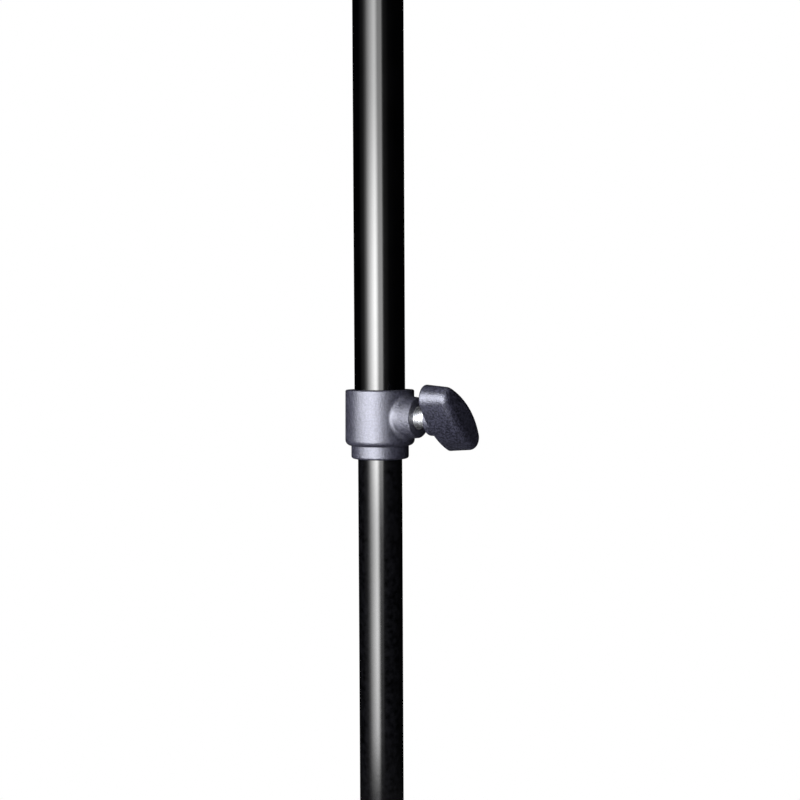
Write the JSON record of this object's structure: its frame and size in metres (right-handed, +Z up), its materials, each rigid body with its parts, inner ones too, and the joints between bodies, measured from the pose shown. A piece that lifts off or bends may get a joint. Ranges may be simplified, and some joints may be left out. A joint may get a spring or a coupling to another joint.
{
  "type": "music stand",
  "caption": "Orchestra music stand: tripod base, telescoping round column locked by a wing screw at its collar, and a tilting sheet-steel desk with a ledge for the sheets.",
  "frame": {"origin": "on the floor, on the column's axis, midway between the feet", "axes": "+Z up along the column, -Y towards the player, +X towards the side that both wing knobs point to"},
  "size_m": [0.508, 0.4309, 1.3055],
  "materials": {
    "tube_black": "gloss black lacquer",
    "cast_charcoal": "fine-textured satin charcoal coat on a die casting",
    "knob_charcoal": "fine-grained satin charcoal nylon",
    "zinc_steel": "bright zinc plate",
    "brass": "plain turned",
    "nylon": "natural nylon",
    "cap_plastic": "moulded black",
    "screw_black": "black oxide",
    "foot_rubber": "matt black",
    "fibre": "pressed fibre",
    "desk_black": "satin black powder coat",
    "rivet_black": "coated with the desk"
  },
  "bodies": {
    "base": {"inner_tube": "tube_black", "inner_tube_guide": "nylon", "base_hub": "cast_charcoal", "hub_cap": "cap_plastic", "hub_set_screws": "screw_black", "leg_bolts": "screw_black", "leg_front": "tube_black", "leg_rear_right": "tube_black", "leg_rear_left": "tube_black", "foot_front": "foot_rubber", "foot_rear_right": "foot_rubber", "foot_rear_left": "foot_rubber"},
    "bush": {"guide_bush": "nylon"},
    "mast": {"outer_tube": "tube_black", "clamp_collar": "cast_charcoal", "thread_insert": "zinc_steel", "collar_pin": "screw_black", "tilt_head": "cast_charcoal", "tilt_head_pin": "screw_black"},
    "clamp_pad": {"clamp_pad": "brass"},
    "clamp_screw": {"clamp_stud": "zinc_steel", "clamp_knob": "knob_charcoal"},
    "desk": {"desk_panel": "desk_black", "desk_shelf": "desk_black", "desk_stiffener": "desk_black", "desk_bracket": "desk_black", "panel_rivets": "rivet_black", "shelf_rivets": "rivet_black", "tilt_bolt": "zinc_steel", "friction_washers": "fibre"},
    "tilt_washer": {"tilt_washer": "zinc_steel"},
    "tilt_screw": {"tilt_knob": "knob_charcoal", "tilt_knob_insert": "brass"}
  },
  "joints": [
    {"name": "height_slide", "type": "slide", "parent": "base", "child": "bush", "axis": [0, 0, 1], "range_m": [-0.29, 0.17]},
    {"name": "mast_swivel", "type": "hinge", "parent": "bush", "child": "mast", "pos_m": [0, 0, 0.44], "axis": [0, 0, 1], "continuous": true},
    {"name": "clamp_pad_slide", "type": "slide", "parent": "mast", "child": "clamp_pad", "axis": [1, 0, 0], "range_m": [0, 0.00198]},
    {"name": "clamp_knob_turn", "type": "hinge", "parent": "clamp_pad", "child": "clamp_screw", "pos_m": [0.0299, 0, 0.44], "axis": [1, 0, 0], "range_deg": [0, 450]},
    {"name": "desk_tilt", "type": "hinge", "parent": "mast", "child": "desk", "pos_m": [0, 0, 1.082], "axis": [-1, 0, 0], "range_deg": [-20, 70]},
    {"name": "tilt_washer_slide", "type": "slide", "parent": "desk", "child": "tilt_washer", "axis": [1, 0, 0], "range_m": [0, 0.00124]},
    {"name": "tilt_knob_turn", "type": "hinge", "parent": "tilt_washer", "child": "tilt_screw", "pos_m": [0.0127, 0, 1.082], "axis": [1, 0, 0], "range_deg": [0, 360]}
  ],
  "couplings": [
    {"joint": "clamp_knob_turn", "follows": "clamp_pad_slide", "rad_per_m": 3957.9},
    {"joint": "tilt_knob_turn", "follows": "tilt_washer_slide", "rad_per_m": 5026.5}
  ]
}
